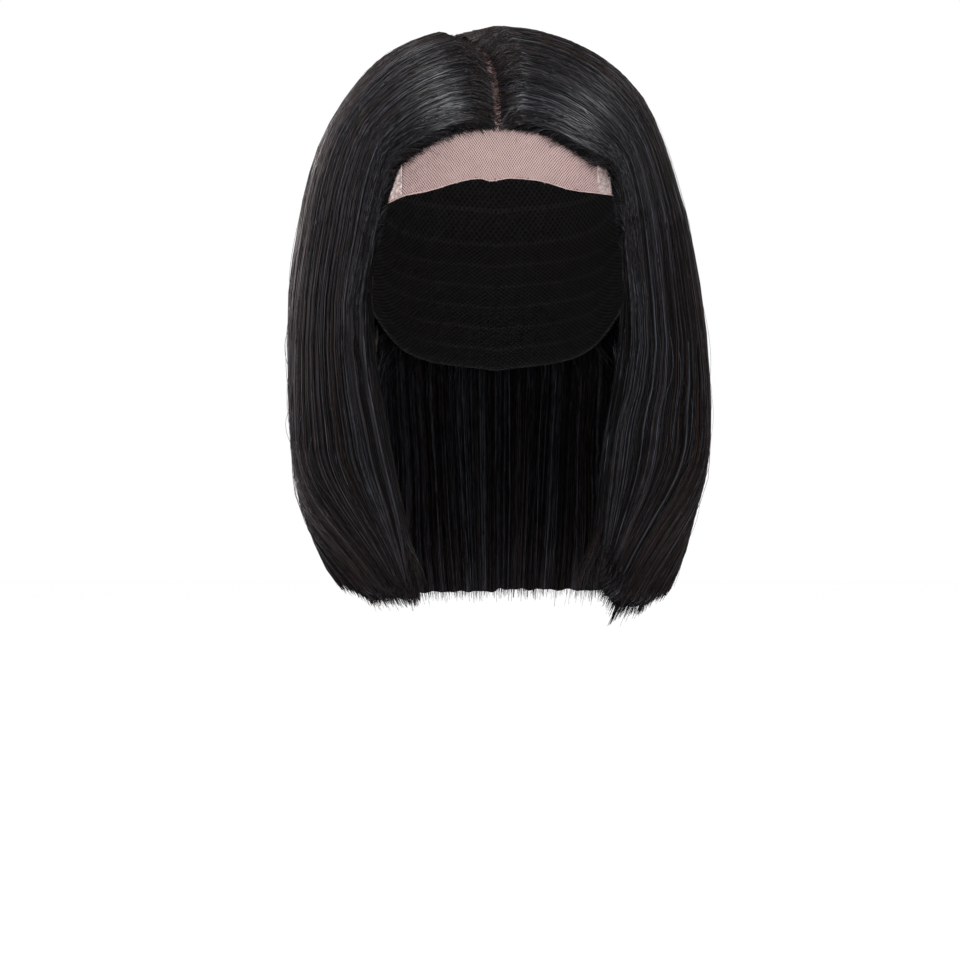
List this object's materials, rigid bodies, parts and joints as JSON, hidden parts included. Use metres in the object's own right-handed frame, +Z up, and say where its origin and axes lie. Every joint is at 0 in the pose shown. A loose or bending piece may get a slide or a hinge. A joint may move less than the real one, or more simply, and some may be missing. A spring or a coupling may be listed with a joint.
{
  "type": "short wig",
  "caption": "Straight chin-to-shoulder bob wig with a centre parting: stretch-net cap, lace closure with a bare front strip, and black hair.",
  "frame": {"origin": "top of the head, on the inside of the cap at the crown", "axes": "+Z up, -Y the way the face looks, +X to the right as seen from the front"},
  "size_m": [0.2166, 0.2134, 0.299],
  "materials": {
    "cap_net": "matt black stretch net with sewn weft rows",
    "lace": "see-through tan net lace",
    "lace_hem": "tan net lace folded double",
    "hair": "straight natural black hair with a soft sheen"
  },
  "bodies": {
    "root": {"wig_cap": "cap_net", "lace_closure": "lace", "lace_hem_left": "lace_hem", "lace_hem_right": "lace_hem", "closure_hair_left": "hair", "closure_hair_right": "hair", "weft_hair": "hair"}
  },
  "joints": []
}
